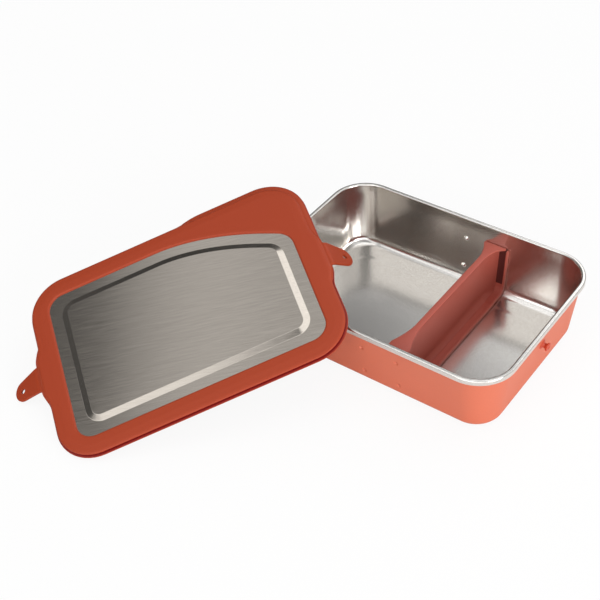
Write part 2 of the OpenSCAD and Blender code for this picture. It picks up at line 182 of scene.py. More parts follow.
floor_size = 6.0
floor_glow = 0.9  # how far the camera sees the floor as plain white
floor_data = bpy.data.meshes.new("floor")
floor_data.from_pydata(
    [(x * floor_size, y * floor_size, -0.0002) for x, y in ((-1, -1), (1, -1), (1, 1), (-1, 1))],
    [],
    [(0, 1, 2, 3)],
)
floor = bpy.data.objects.new("floor", floor_data)
scene.collection.objects.link(floor)
floor_finish = Finish("studio_floor", Base_Color=srgb(238, 237, 235), Roughness=0.9)
floor_tree = floor_finish.tree
glow = floor_tree.nodes.new("ShaderNodeEmission")
glow.inputs["Strength"].default_value = 1.0
seen = floor_finish.node("LightPath", {}, {}, "Is Camera Ray")
both = floor_tree.nodes.new("ShaderNodeMixShader")
floor_tree.links.new((seen * floor_glow).socket, both.inputs[0])
floor_tree.links.new(floor_finish.shader.outputs[0], both.inputs[1])
floor_tree.links.new(glow.outputs[0], both.inputs[2])
floor_tree.links.new(both.outputs[0], floor_tree.nodes["Material Output"].inputs[0])
floor_data.materials.append(floor_finish.material)

world = bpy.data.worlds.new("studio")
scene.world = world
world.use_nodes = True
room = Nodes(world.node_tree)
look = room.node("TexCoord", {}, {}, "Generated")
look_x, look_y, look_z = (room.node("SeparateXYZ", {}, {0: look}, k) for k in range(3))
steep = look_z.maths("MAXIMUM", 0.05)
across, along = look_x.maths("DIVIDE", steep), look_y.maths("DIVIDE", steep)

# Each zone is a patch of a level ceiling, across to the right and along to the back. Its steps
# go from one strength of light to another: first the zone that the lid's plate mirrors.
plate_line = across + along * 0.58
plate_light = room.step(plate_line, -0.805, -0.760, 0.06, 0.42)
plate_light += room.step(plate_line, -0.75, -0.66, 0.0, 0.2)
plate_light += room.step(plate_line, -0.64, -0.54, 0.0, -0.14)
plate_light += room.step(across, -0.45, -0.36, 0.0, 0.9) * room.step(across, 0.25, 0.5, 1.0, 0.2)
low_line = across + along * 1.08
low_light = room.step(low_line, -0.65, -0.46, 1.2, 0.2) * room.step(across, -1.2, -0.8, 0.04, 1.0)

# Next come the zones that the tray's back wall and floor mirror, then how all of them join.
front_light = room.step(across, -1.25, -0.8, 0.15, 1.5) + room.step(across, -0.72, -0.6, 0.0, 1.3)
front_light *= room.step(along, -1.5, -0.9, 1.0, 0.3)
near_back = room.step(along, 0.88, 1.0, 0.04, 0.8)
near_back += room.step(along + across * 0.75, 0.58, 0.62, 0.0, 0.7)
near_back *= room.step(across, -1.1, -0.8, 0.12, 1.0)
far_back = room.step(across, -0.76, -0.58, 0.08, 1.9) * room.step(along, 1.6, 2.2, 1.0, 0.2)
near_back += (far_back - near_back) * room.step(along, 1.0, 1.08, 0.0, 1.0)
light = plate_light + (low_light - plate_light) * room.step(along, -0.33, -0.22, 1.0, 0.0)
light += (front_light - light) * room.step(along, -0.85, -0.68, 1.0, 0.0)
light += (near_back - light) * room.step(along, 0.58, 0.75, 0.0, 1.0)
light *= room.step(look_z, 0.1, 0.35, 0.0, 1.0) * room.step(across, 0.5, 1.2, 1.0, 0.5)
sky = world.node_tree.nodes["Background"]
sky.inputs["Color"].default_value = (0.98, 0.99, 1, 1)
fill_light = 0.05
light += room.step(look_x, 0.3, 0.8, 0.0, 0.3) + fill_light
backdrop = room.node("LightPath", {}, {}, "Is Camera Ray")
room.join(sky.inputs["Strength"], light + (1.0 - light) * backdrop)


def softbox(name, place, aim, width, height, power):
    """A rectangular area lamp in metres and watts, turned towards its aim."""
    lamp = bpy.data.lights.new(name, "AREA")
    lamp.shape = "RECTANGLE"
    lamp.size = width
    lamp.size_y = height
    lamp.energy = power
    lamp_object = bpy.data.objects.new(name, lamp)
    lamp_object.location = place
    aimed = Vector(aim) - Vector(place)
    lamp_object.rotation_euler = aimed.to_track_quat("-Z", "Y").to_euler()
    scene.collection.objects.link(lamp_object)


box_middle = (0, 0, 0.03)
softbox("right_side", (1.5, -0.5, 0.6), box_middle, width=0.9, height=0.6, power=14)
softbox("front", (0.9, -1.7, 0.5), box_middle, width=1.2, height=0.6, power=3)

# ---------------------------------------------------------------- Steel tray
# Deep-drawn stainless sheet, left bare and satin inside. Its rim is rolled over, its base
# has a flat pressed panel, and eight bumps pressed into the long walls hold the divider.
low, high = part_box("box_body")
box_l, box_w, box_h = (1000 * (high[i] - low[i]) for i in range(3))
corner_r = 27.0
sheet = 0.6
rim_out = 2.6  # the rolled rim stands out from the wall by this
rim_high = 4.0
draft_in = 4.75  # how far each wall leans in on its way down
bend_r = 7.4  # outside radius of the bend between wall and base
base_step = 0.8
panel_l, panel_w, panel_r = 159.0, 95.0, 14.0
step_run_top, step_run_under = 4.8, 2.4  # width of the step down to the panel
step_share_top = 0.4  # the rest of the drop is in the border's slope
stop_x, stop_z = (0.0, 27.0), (12.2, 35.0)
stop_rise, stop_wide = 1.15, 1.6
stop_near, stop_steps = 2.6, 14  # the reach and number of fine mesh steps at a stop
wall_band = 14.0

rim_foot = box_h - rim_high
bend_z = base_step + bend_r
draft = atan(draft_in / (rim_foot - bend_z))
bend_s = rim_out + draft_in + bend_r / cos(draft)


def wall_inset(z, depth=0.0):
    """How far the wall lies in from the rim's outer face, depth inside its outer skin."""
    return rim_out + (rim_foot - z) * tan(draft) + depth / cos(draft)


def close_to(places, reach, count):
    """Fine steps round each place, for a small pressed shape."""
    return [p + reach * (2 * i / count - 1) for p in places for i in range(count + 1)]


def spread(start, end, step, extra=()):
    """Even steps from start to end, with the extra places worked in."""
    plain = np.linspace(start, end, max(2, ceil(abs(end - start) / step) + 1))
    clear = [p for p in plain if all(abs(p - e) > step / 3 for e in extra) or p in plain[[0, -1]]]
    inside = [e for e in extra if min(start, end) < e < max(start, end)]
    return sorted(set(clear) | set(inside), reverse=start > end)


stop_columns = close_to(stop_x, stop_near, stop_steps)
wall_x = spread(corner_r - box_l / 2, box_l / 2 - corner_r, 6, stop_columns)
wall_y = spread(corner_r - box_w / 2, box_w / 2 - corner_r, 8)
corner_turns = 20


def rounded_loop(length, width, radius, z, along_x=wall_x, along_y=wall_y):
    """One level loop round a rounded rectangle, anticlockwise from the right side's foot."""
    cx, cy = length / 2 - radius, width / 2 - radius
    fx = np.array(along_x) / max(along_x) * cx
    fy = np.array(along_y) / max(along_y) * cy
    right = [(length / 2, y) for y in fy]
    back = [(x, width / 2) for x in fx[::-1]]
    left = [(-length / 2, y) for y in fy[::-1]]
    front = [(x, -width / 2) for x in fx]
    points = []
    sides = (right, cx, cy), (back, -cx, cy), (left, -cx, -cy), (front, cx, -cy)
    for quarter, (side, x, y) in enumerate(sides):
        points += side
        for k in range(1, corner_turns):
            a = pi / 2 * (quarter + k / corner_turns)
            points.append((x + radius * cos(a), y + radius * sin(a)))
    return np.array([(x, y, z) for x, y in points])


def tray_loop(inset, z):
    """A level loop of the tray, inset from its rim's outer face."""
    return rounded_loop(box_l - 2 * inset, box_w - 2 * inset, corner_r - inset, z)


def press_stops(loop):
    """Pushes a loop of the wall in at the stops on the two long walls."""
    on_wall = np.abs(loop[:, 1]) > box_w / 2 - wall_band
    for x, z in product(stop_x, stop_z):
        far = np.hypot(loop[:, 0] - x, loop[:, 2] - z) / stop_wide
        dome = np.clip(1 - far**2, 0, 1) ** 0.7
        loop[:, 1] -= np.sign(loop[:, 1]) * stop_rise * dome * on_wall
    return loop


def wall_levels(depth):
    """Insets and heights down the wall and round the bend, depth inside its outer skin."""
    bend_top = bend_z - (bend_r - depth) * sin(draft)
    stop_rows = close_to(stop_z, stop_near, stop_steps)
    rows = [(wall_inset(z, depth), z) for z in spread(rim_foot, bend_top, 6, stop_rows)]
    for k in range(1, 13):
        a = draft + (pi / 2 - draft) * k / 12
        rows.append((bend_s - (bend_r - depth) * cos(a), bend_z - (bend_r - depth) * sin(a)))
    return rows


def panel_loops(side, z_ring, z_panel):
    """The base's border and the step down to its panel. side 1 is the top of the sheet."""
    loops = []
    drop = z_ring - z_panel
    top = (step_run_top, step_share_top, 0.0)
    run, share, wider = top if side > 0 else (step_run_under, 1, sheet)
    for t in (0, 0.15, 0.3, 0.5, 0.7, 0.85, 1):
        grow = run * (0.5 - t) + wider
        z = z_panel + drop * (1 + cos(pi * t)) / 2 * share
        loops.append(rounded_loop(panel_l + 2 * grow, panel_w + 2 * grow, panel_r + grow, z))
    loops.append(rounded_loop(panel_l - 30, panel_w - 20, panel_r, z_panel))  # on the flat
    return loops


def skin(loops, cap_first=True, cap_last=True):
    """Vertices and faces of loops joined one to the next."""
    n = len(loops[0])
    faces = [
        (k * n + i, k * n + (i + 1) % n, (k + 1) * n + (i + 1) % n, (k + 1) * n + i)
        for k in range(len(loops) - 1)
        for i in range(n)
    ]
    if cap_first:
        faces.append(tuple(range(n))[::-1])
    if cap_last:
        faces.append(tuple((len(loops) - 1) * n + i for i in range(n)))
    return np.concatenate(loops), faces


def add_piece(name, points, faces, finish, body, node, slot, sharp=40):
    """Makes a piece from points in millimetres, riding on its body, in place of its node."""
    mesh = bpy.data.meshes.new(name)
    mesh.from_pydata((np.asarray(points) * 0.001).tolist(), [], faces)
    work = bmesh.new()
    work.from_mesh(mesh)
    bmesh.ops.remove_doubles(work, verts=work.verts, dist=1e-7)
    bmesh.ops.recalc_face_normals(work, faces=work.faces)
    work.to_mesh(mesh)
    work.free()
    mesh.shade_smooth()
    mesh.set_sharp_from_angle(angle=radians(sharp))
    mesh.materials.append(finish.material)
    piece = bpy.data.objects.new(name, mesh)
    scene.collection.objects.link(piece)
    if body:
        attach(piece, body)
    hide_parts(node)
    return piece


drawn_steel = Finish("drawn_steel", Metallic=1.0)
grain_place = drawn_steel.place()
grain = drawn_steel.noise(grain_place, scale=1300, detail=2, rough=0.6)
cloud = drawn_steel.noise(grain_place, scale=22, detail=3, rough=0.55)
grain_dark, grain_pale = (0.52, 0.494, 0.463, 1), (0.96, 0.93, 0.89, 1)
drawn_steel.drive("Base Color", drawn_steel.mix(grain, grain_dark, grain_pale))
drawn_steel.drive("Roughness", 0.15 + grain * 0.06 + cloud * 0.03)
drawn_steel.bump(grain, distance=0.00001, strength=0.15)

rim_wide = rim_out + sheet
curl_r, rim_r_out, rim_r_in = rim_out / 4, 1.3, 1.2
outer_rows = wall_levels(0.0)
inner_rows = wall_levels(sheet)
tray = panel_loops(-1, base_step, 0.0)[::-1]
tray += [press_stops(tray_loop(s, z)) for s, z in outer_rows[::-1]]
tray.append(tray_loop(rim_out, rim_foot + 0.02))
for a in np.linspace(pi / 2, pi, 7):
    tray.append(tray_loop(curl_r * (1 + cos(a)), rim_foot + curl_r * (1 - sin(a))))
for a in np.linspace(0, pi / 2, 9):
    tray.append(tray_loop(rim_r_out * (1 - cos(a)), box_h - rim_r_out * (1 - sin(a))))
for a in np.linspace(0, pi / 2, 9):
    tray.append(tray_loop(rim_wide - rim_r_in * (1 - sin(a)), box_h - rim_r_in * (1 - cos(a))))
tray += [press_stops(tray_loop(s, z)) for s, z in inner_rows]
tray += panel_loops(1, base_step + sheet, sheet)
add_piece("steel_tray", *skin(tray), drawn_steel, "box", "box_body", "steel")

# ---------------------------------------------------------------- Powder coat
# Terracotta powder sprayed on the outside of the walls and baked. It stops under the
# rolled rim and at the edge of the base panel.
coat_thick = 0.15
powder = Finish("terracotta_powder", Specular_IOR_Level=0.85)
speck = powder.noise(powder.place(), scale=1100, detail=2, rough=0.5)
powder.drive("Base Color", powder.mix(speck, srgb(198, 93, 60), srgb(210, 105, 71)))
powder.drive("Roughness", 0.42 + speck * 0.16)
powder.bump(speck, distance=0.00003, strength=0.6)
coat = [press_stops(tray_loop(s, z)) for s, z in wall_levels(-coat_thick)]
coat += [press_stops(tray_loop(s, z)) for s, z in outer_rows[::-1]]
coat.append(coat[0])
coat_points, coat_faces = skin(coat, False, False)
add_piece("powder_coat", coat_points, coat_faces, powder, "box", "outer_coat", "coat")

# ---------------------------------------------------------------- Pegs
# Turned spools welded to the end walls and coated with them. A pull tab's hole snaps
# over the head and sits round the neck.
peg_z = 33.0
peg_turns = np.linspace(0, 2 * pi, 40, endpoint=False)[:, None]
# The spools carry the walls' powder. Here it is drawn darker and redder than on the walls, as
# painted shade on the small spools.
peg_coat_painted_shade = Finish("peg_powder_painted_shade", Base_Color=srgb(190, 70, 42), Roughness=0.45)
peg_profile = [  # radius and distance out from the wall
    (3.5, 0.0), (3.4, 0.35), (2.9, 0.7), (2.1, 1.1), (1.75, 1.7), (1.7, 2.3),
    (1.85, 2.9), (2.35, 3.3), (2.8, 3.55), (3.0, 3.9), (3.0, 4.3), (2.85, 4.7),
    (2.5, 4.95), (2.0, 5.0), (1.35, 5.0), (1.15, 4.85), (1.05, 4.4), (0.5, 4.3),
]
for side, name in ((1, "right"), (-1, "left")):
    foot = np.array([side * (box_l / 2 - wall_inset(peg_z)), 0, peg_z])
    out = np.array([side * cos(draft), 0, -sin(draft)])
    level_side = np.array([0.0, 1.0, 0.0])
    circle = level_side * np.cos(peg_turns) + np.cross(out, level_side) * np.sin(peg_turns)
    rings = [foot + out * h + r * circle for r, h in peg_profile]
    add_piece(f"peg_spool_{name}", *skin(rings), peg_coat_painted_shade, "box", f"peg_{name}", "coat", 50)

# ---------------------------------------------------------------- Divider
# One moulding in brick-red silicone that stands across the tray. Its wall flares where it
# meets the steel, under a wider top plate, and a beaded lip lies against walls and floor.
divider_x = 22.6
divider_top = 39.1
web = 4.5
clear = 0.3  # the gap between silicone and steel
web_flare, plate_flare, foot_flare = 2.55, 5.25, 3.2
flare_curve = 1.8
web_drop, lip_drop = 0.8, 1.3  # how far the wall and the lip stop below the top
back_flat, back_run, front_flat, front_run, foot_run = 0.5, 17.0, 11.0, 33.0, 6.0
bead_at, bead_off, bead_r, bead_sides = 11.55, 2.2, 0.75, 12
top_spur = 2.2  # the top plate's point beside the lip at the back
wall_rows = 14
step_y = panel_w / 2
foot_bend = bend_r - sheet


def tray_y(z, off):
    """Distance out to the end wall's inner face at a height, less clearance and offset."""
    return box_w / 2 - wall_inset(z, sheet + clear + off)


def end_line(off, foot_off, top, turns=10):
    """Points (y, z) down one end wall and round its bend."""
    floor_z = base_step + sheet + clear + foot_off
    r = max(foot_bend - foot_off, 2.5)
    centre = tray_y(floor_z + r, off) - r / cos(draft)
    line = [(tray_y(z, off), z) for z in np.linspace(top, floor_z + r, wall_rows, endpoint=False)]
    for a in np.linspace(draft, pi / 2, turns):
        line.append((centre + r * cos(a), floor_z + r - r * sin(a)))
    return np.array(line)


def foot_line(foot_off, reach):
    """Points (y, z) along the floor, down the step into its panel and up again."""
    squeeze = min(1, (reach - 1) / (step_y + 1))
    steps = [(step_y + 1 - t, base_step * (1 + cos(pi * t / 2)) / 2) for t in (0, 0.5, 1, 1.5, 2)]
    steps += [(y, 0) for y in (36, 24, 12, 0)]
    line = np.array(steps + [(-y, z) for y, z in steps[-2::-1]])
    return line * (squeeze, 1) + (0, sheet + clear + foot_off)


def flare_at(widening, t):
    """Half the wall's thickness at the share t of the way out of its flare."""
    return web / 2 + widening * (1 - t) ** flare_curve


def ring_of(half, line):
    """Both sides of the divider along one line, as one closed ring."""
    right = np.column_stack([half, line])
    return np.concatenate([right, (right * (-1, 1, 1))[::-1]]) + (divider_x, 0, 0)


def mirror_y(line):
    """The same line at the other end wall, run the other way."""
    return (line * (-1, 1))[::-1]


def silicone(name, colour, painted_shade, shaded_ranges, **place):
    """Satin silicone with painted shade: inside a box given by a range on some axes, its colour
    turns to a dark colour that stands for the shadow in a hollow.
    """
    finish = Finish(name, Specular_IOR_Level=0.35)
    fine = finish.noise(finish.place(), scale=900, detail=2, rough=0.5)
    # The mask is 1 inside every range, and there the shadow colour is painted into the base
    # colour.
    inside = 1.0
    for axis, start, end in shaded_ranges:
        reach = finish.node("SeparateXYZ", {}, {0: finish.place(**place)}, axis)
        inside = finish.step(reach, start, start + 0.0003, 0.0, 1.0) * inside
        inside = finish.step(reach, end - 0.0003, end, 1.0, 0.0) * inside
    finish.drive("Base Color", finish.mix(inside, colour, painted_shade))
    finish.drive("Roughness", 0.42 + fine * 0.14)
    finish.bump(fine, distance=0.00002, strength=0.5)
    return finish


# The second colour is painted shade. It darkens the lip's channel beside the wall's flare on the
# end walls, where the top plate shades it.
brick_red, brick_painted_shade = srgb(172, 84, 70), srgb(84, 34, 30)
brick = Finish("brick_silicone", Base_Color=brick_red, Roughness=0.48, Specular_IOR_Level=0.35)
channel_shaded_ranges = [(0, 0.001 * (divider_x + 4.9), 0.001 * (divider_x + 10.7)), (2, 0.009, 0.05)]
lip_brick_shaded = silicone("brick_silicone_lip_painted_shade", brick_red, brick_painted_shade, channel_shaded_ranges)

web_top = divider_top - web_drop
shares = [0, 0.04, 0.09, 0.15, 0.22, 0.3, 0.39, 0.49, 0.6, 0.72, 0.86, 1]
rings = []
for k, t in enumerate([0, *shares]):
    foot_off = 0 if k == 0 else 1 + t * (foot_run - 1)
    near = 0 if k == 0 else 1 + t * (back_run - 1)
    far = 0 if k == 0 else front_flat + t * (front_run - front_flat)
    back = end_line(near, foot_off, web_top)
    front = back.copy()
    wide = end_line(far, foot_off, web_top)
    fade = np.clip(1 - np.arange(len(front)) / wall_rows, 0, 1) ** 2
    front[:, 0] += (wide[:, 0] - front[:, 0]) * fade
    foot = foot_line(foot_off, back[-1][0])
    line = np.concatenate([back, foot, mirror_y(front)])
    bend_rows = [wall_rows, len(back) - 1]
    widening = np.interp(np.arange(len(back)), bend_rows, [web_flare, foot_flare])
    widening = np.concatenate([widening, np.full(len(foot), foot_flare), widening[::-1]])
    rings.append(ring_of(flare_at(widening, t), line))
n = len(rings[0]) // 2
points, faces = skin(rings, False, False)
faces += [(i, i + 1, 2 * n - 2 - i, 2 * n - 1 - i) for i in range(n - 1)]
last = (len(rings) - 1) * 2 * n
faces.append(tuple(last + i for i in range(n)))
faces.append(tuple(last + n + i for i in range(n)))
faces.append((last, last + n - 1, last + n, last + 2 * n - 1))
add_piece("divider_wall", points, faces, brick, "divider", "divider", "brick_silicone", 50)

lip_section = [  # distance from the wall's middle, and off the steel
    (-7.4, 0), (-7.5, 0.2), (-7.5, 0.7), (-7.3, 0.9), (0, 0.8), (10.6, 0.7), (10.85, 1.0),
    (10.95, 2.2), (12.1, 2.2), (12.25, 1.6), (12.3, 0.8), (12.25, 0.1), (12.1, 0),
]


def lip_path(x, off):
    """A line along the lip, at a distance x from the wall's middle and off from the steel."""
    wall = end_line(off, off, divider_top - lip_drop)
    path = np.concatenate([wall, foot_line(off, wall[-1][0]), mirror_y(wall)])
    return np.column_stack([np.full(len(path), x + divider_x), path])


lip_rings = list(np.array([lip_path(x, off) for x, off in lip_section]).transpose(1, 0, 2))
add_piece("divider_lip", *skin(lip_rings), lip_brick_shaded, "divider", "divider", "brick_silicone", 50)

bead_tree = bpy.data.node_groups.new("divider_bead", "GeometryNodeTree")
bead_tree.interface.new_socket("Geometry", in_out="INPUT", socket_type="NodeSocketGeometry")
round_r = bead_tree.interface.new_socket("Radius", in_out="INPUT", socket_type="NodeSocketFloat")
round_sides = bead_tree.interface.new_socket("Sides", in_out="INPUT", socket_type="NodeSocketInt")
bead_tree.interface.new_socket("Geometry", in_out="OUTPUT", socket_type="NodeSocketGeometry")
bead_nodes = {
    name: bead_tree.nodes.new(kind)
    for name, kind in {
        "given": "NodeGroupInput", "line": "GeometryNodeMeshToCurve",
        "round": "GeometryNodeCurvePrimitiveCircle", "sweep": "GeometryNodeCurveToMesh",
        "real": "GeometryNodeRealizeInstances", "finish": "GeometryNodeSetMaterial",
        "made": "NodeGroupOutput",
    }.items()
}
for start, output, end, socket in (
    ("given", "Geometry", "line", "Mesh"), ("given", "Radius", "round", "Radius"),
    ("given", "Sides", "round", "Resolution"), ("line", "Curve", "sweep", "Curve"),
    ("round", "Curve", "sweep", "Profile Curve"), ("sweep", "Mesh", "real", "Geometry"),
    ("real", "Geometry", "finish", "Geometry"), ("finish", "Geometry", "made", "Geometry"),
):
    bead_tree.links.new(bead_nodes[start].outputs[output], bead_nodes[end].inputs[socket])
bead_nodes["sweep"].inputs["Fill Caps"].default_value = True
bead_nodes["finish"].inputs["Material"].default_value = brick.material
bead_line = lip_path(bead_at, bead_off) * 0.001
bead_data = bpy.data.meshes.new("bead_line")
bead_data.from_pydata(bead_line.tolist(), [(i, i + 1) for i in range(len(bead_line) - 1)], [])
bead_draft = bpy.data.objects.new("bead_line", bead_data)
scene.collection.objects.link(bead_draft)
bead_maker = bead_draft.modifiers.new("bead", "NODES")
bead_maker.node_group = bead_tree
bead_maker[round_r.identifier] = bead_r * 0.001
bead_maker[round_sides.identifier] = bead_sides
worked_out = bead_draft.evaluated_get(bpy.context.evaluated_depsgraph_get())
bead_mesh = bpy.data.meshes.new_from_object(worked_out)
bpy.data.objects.remove(bead_draft)
bead_points = [tuple(v.co * 1000) for v in bead_mesh.vertices]
bead_faces = [tuple(p.vertices) for p in bead_mesh.polygons]
add_piece(
    "divider_bead", bead_points, bead_faces, brick, "divider", "divider", "brick_silicone", 50
)

top_round = [(1.5, 0.5), (1.35, 0.15), (1.0, 0), (0.45, 0), (0.2, 0.08), (0.06, 0.25), (0, 0.5)]
top_reach = tray_y(divider_top, 0)
top_quarters = [  # side, end wall, and the flat, the run and the spur of its edge
    (1, 1, back_flat, back_run, top_spur),
    (1, -1, front_flat, front_run, 0),
    (-1, -1, front_flat, front_run, 0),
    (-1, 1, back_flat, back_run, 0),
]
top_rings = []
for down, inset in top_round:
    loop = []
    for side, end, flat, run, spur in top_quarters:
        half = web / 2 + plate_flare + spur
        row = [(half - 1 + sqrt(1 - (1 - t) ** 2), t) for t in (0.0, 0.12, 0.3, 0.6, 1.0)]
        for t in np.linspace(0.02, 1, 24):
            point = spur * max(0, 1 - 4 * t) ** 2
            row.append((flare_at(plate_flare, t) + point, 1 + flat + t * (run - flat)))
        edge = [(side * (x - inset), end * (top_reach - max(off, inset))) for x, off in row]
        loop += edge if side * end > 0 else edge[::-1]
    top_rings.append(np.array([(x + divider_x, y, divider_top - down) for x, y in loop]))
add_piece("divider_top_plate", *skin(top_rings), brick, "divider", "divider", "brick_silicone", 35)

# ---------------------------------------------------------------- Lid plate
# A stamped sheet of stainless steel, brushed along its length, with a raised panel and one
# long edge swept down towards the lifting corner. The silicone is moulded over its edge.
joints = {joint["name"]: joint for joint in frame["joints"]}
right_hinge, left_hinge = joints["tab_right_bend"], joints["tab_left_bend"]
hinge_x, hinge_z = 107.2, -1.1  # the tabs' hinge lines on the lid
right_mm = np.array(right_hinge["pos_m"]) * 1000
left_mm = np.array(left_hinge["pos_m"]) * 1000
lid_u = (right_mm - left_mm) / np.linalg.norm(right_mm - left_mm)
lid_v = np.array(right_hinge["axis"])
lid_n = np.cross(lid_u, lid_v)
lid_centre = (right_mm + left_mm) / 2 - hinge_z * lid_n
lid_axes = np.array([lid_u, lid_v, lid_n])
lid_turn = Matrix(lid_axes.T.tolist()).to_euler()


def on_lid(points):
    """Takes points from the lid's own plane to where the lid leans."""
    return np.asarray(points) @ lid_axes + lid_centre


plate_hx, plate_hy, plate_r, foot_r = 88.2, 59.7, 12.0, 15.5
sweep_from, sweep_to, sweep_fall, sweep_curve = -4.0, 81.0, 27.7, 1.8
sweep_lead = 0.6  # the straight edge ends this far before the sweep
plate_thick, plate_hold = 0.6, 2.4  # hold is how far the sheet runs into the silicone
panel_in, panel_slope, panel_rise = 8.0, 5.0, 1.3
brush_lean = radians(-14)
edge_fills = (24, 60, 0, 24, 60)  # points on each straight of the plate and of the frame


def sweep_at(x):
    """Height and downward slope angle of the swept edge."""
    t = np.clip((x - sweep_from) / (sweep_to - sweep_from), 0, None)
    slope = sweep_fall * sweep_curve * t ** (sweep_curve - 1) / (sweep_to - sweep_from)
    return plate_hy - sweep_fall * t**sweep_curve, np.arctan(slope)


def arc(cx, cy, r, start, end, count):
    """Points on an arc round (cx, cy)."""
    return [(cx + r * cos(a), cy + r * sin(a)) for a in np.linspace(start, end, count)]


def chain(parts, fills):
    """Joins runs of points with evenly spaced points between them, back to the start."""
    out = []
    for part, fill, after in zip(parts, fills, parts[1:] + parts[:1]):
        gap = np.linspace(part[-1], after[0], fill + 2)[1:-1]
        out += [tuple(p) for p in part] + [tuple(p) for p in gap]
    return np.array(out)


def plate_edge(inset, r, low_r):
    """The plate's outline, inset from its bare edge, anticlockwise from the lower left."""
    hx, hy = plate_hx - inset, plate_hy - inset
    end_y, a = sweep_at(sweep_to)
    across = (sin(a), cos(a))
    ex, ey = sweep_to - inset * across[0], end_y - inset * across[1]
    cx = hx - low_r
    cy = ey + ((ex - cx) * across[0] - low_r) / across[1]
    xs = np.linspace(sweep_to, sweep_from, 200)
    ys, slopes = sweep_at(xs)
    px, py = xs - inset * np.sin(slopes), ys - inset * np.cos(slopes)
    at = np.linspace(cx + low_r * across[0] - 1.2, sweep_from, 40)
    curve = list(zip(at, np.interp(at, px[::-1], py[::-1])))
    return chain(
        [
            arc(-hx + r, -hy + r, r, pi, 1.5 * pi, 13),
            arc(hx - r, -hy + r, r, 1.5 * pi, 2 * pi, 13),
            arc(cx, cy, low_r, 0, pi / 2 - a, 13) + curve,
            [(sweep_from - sweep_lead, hy)],
            arc(-hx + r, hy - r, r, pi / 2, pi, 13),
        ],
        edge_fills,
    )


def level(outline, z):
    """An outline's points at one height above the lid's plane."""
    return np.column_stack([outline, np.full(len(outline), z)])


def plate_line_at(inset, z):
    """The plate's outline moved in or out evenly, corners and all, at one height."""
    return level(plate_edge(inset, plate_r - inset, foot_r - inset), z)


lid_steel = Finish("brushed_lid_steel", Metallic=1.0)
brush_turn = Matrix((lid_axes.T @ Matrix.Rotation(brush_lean, 3, "Z")).tolist()).to_euler()
brush_place = lid_steel.place(turn=brush_turn, stretch=(1, 22, 22))
brush = lid_steel.noise(brush_place, scale=60, detail=3, rough=0.6)
brush_dark, brush_pale = (0.50, 0.45, 0.395, 1), (0.72, 0.655, 0.58, 1)
lid_steel.drive("Base Color", lid_steel.mix(brush, brush_dark, brush_pale))
lid_steel.drive("Roughness", 0.1 + brush * 0.08)
lid_steel.bump(brush, distance=0.00001, strength=0.2)

sheet_loops = [  # inset, the radii of most corners and of the swept one, and height
    (-plate_hold, plate_r + plate_hold, foot_r + plate_hold, 0.0),
    (0, plate_r, foot_r, 0.0),
    (panel_in - 0.5, plate_r, foot_r, 0.0),
]
for t in (0, 0.03, 0.06, 0.1, 0.3, 0.5, 0.7, 0.9, 0.94, 0.97, 1):
    rise = panel_rise * np.clip(1.12 * t - 0.06, 0.02 * t, 0.98 + 0.02 * t)
    sheet_loops.append((panel_in + panel_slope * t, plate_r - 6 * t, foot_r - 8 * t, rise))
plate = [level(plate_edge(d, r, low_r), z - plate_thick) for d, r, low_r, z in sheet_loops[::-1]]
plate += [level(plate_edge(d, r, low_r), z) for d, r, low_r, z in sheet_loops]
plate_points, plate_faces = skin(plate)
plate_points = on_lid(plate_points)
add_piece("lid_sheet", plate_points, plate_faces, lid_steel, "lid", "lid_plate", "lid_steel")

# ---------------------------------------------------------------- Lid frame
# Burnt-orange silicone moulded round the plate: a padded border, a groove and bead round
# the side, swellings that carry the tabs, a finger lip and the sealing ring underneath.
lid_l, lid_w, lid_r = 206.0, 149.0, 28.5
swell_out, swell_run, swell_rise = 3.3, 27.0, 17.0
finger_out, finger_from, finger_rise = 2.75, 13.0, 20.0
finger_side, finger_side_rise = 9.3, 8.0
bulge_full = 0.8  # a swelling counts as full from here
ring_in, ring_wide, ring_deep = 6.5, 2.5, 7.0
flange_deep = 2.8
top_high, lap = 1.35, 2.6  # the border's top, and how far it laps over the plate's edge


def ease(t):
    """A smooth rise from 0 to 1."""
    return (1 - np.cos(pi * np.clip(t, 0, 1))) / 2


# The spine runs 1 mm round the centres of the lid's corners, and every row of the border is
# measured out from those centres.
lid_cx, lid_cy = lid_l / 2 - lid_r, lid_w / 2 - lid_r
spine = chain(
    [
        arc(-lid_cx, -lid_cy, 1, pi, 1.5 * pi, 13),
        arc(lid_cx, -lid_cy, 1, 1.5 * pi, 2 * pi, 13),
        arc(lid_cx, lid_cy, 1, 0, pi / 2, 25)
        + [(x, lid_cy + 1) for x in np.linspace(lid_cx, sweep_from, 29)[1:]],
        [(sweep_from - sweep_lead, lid_cy + 1)],
        arc(-lid_cx, lid_cy, 1, pi / 2, pi, 13),
    ],
    edge_fills,
)
spine_in = np.clip(spine, (-lid_cx, -lid_cy), (lid_cx, lid_cy))
spine_out = spine - spine_in
spine_out /= np.linalg.norm(spine_out, axis=1)[:, None]
edge_line = spine_in + spine_out * lid_r
on_ends = np.abs(spine_out[:, 0]) > 0.999
swell_t = np.clip((swell_run - np.abs(edge_line[:, 1])) / swell_rise, 0, 1)
tab_bulge = swell_out * swell_t**3 * (10 - 15 * swell_t + 6 * swell_t**2) * on_ends
finger = finger_out * ease((edge_line[:, 0] - finger_from) / finger_rise)
finger *= ease((edge_line[:, 1] - finger_side) / finger_side_rise)
bulged = np.clip(np.maximum(tab_bulge, finger) / bulge_full, 0, 1)


def frame_edge(inset, z, tabs=0.0, lip=0.0, bulged_inset=None):
    """The lid's outline inset from its edge. tabs and lip 1 take it round those swellings."""
    inward = np.full(len(spine), float(inset))
    if bulged_inset is not None:
        inward += (bulged_inset - inset) * bulged
    reach = lid_r - inward + np.maximum(tabs * tab_bulge, lip * finger)
    return level(spine_in + spine_out * reach[:, None], z)


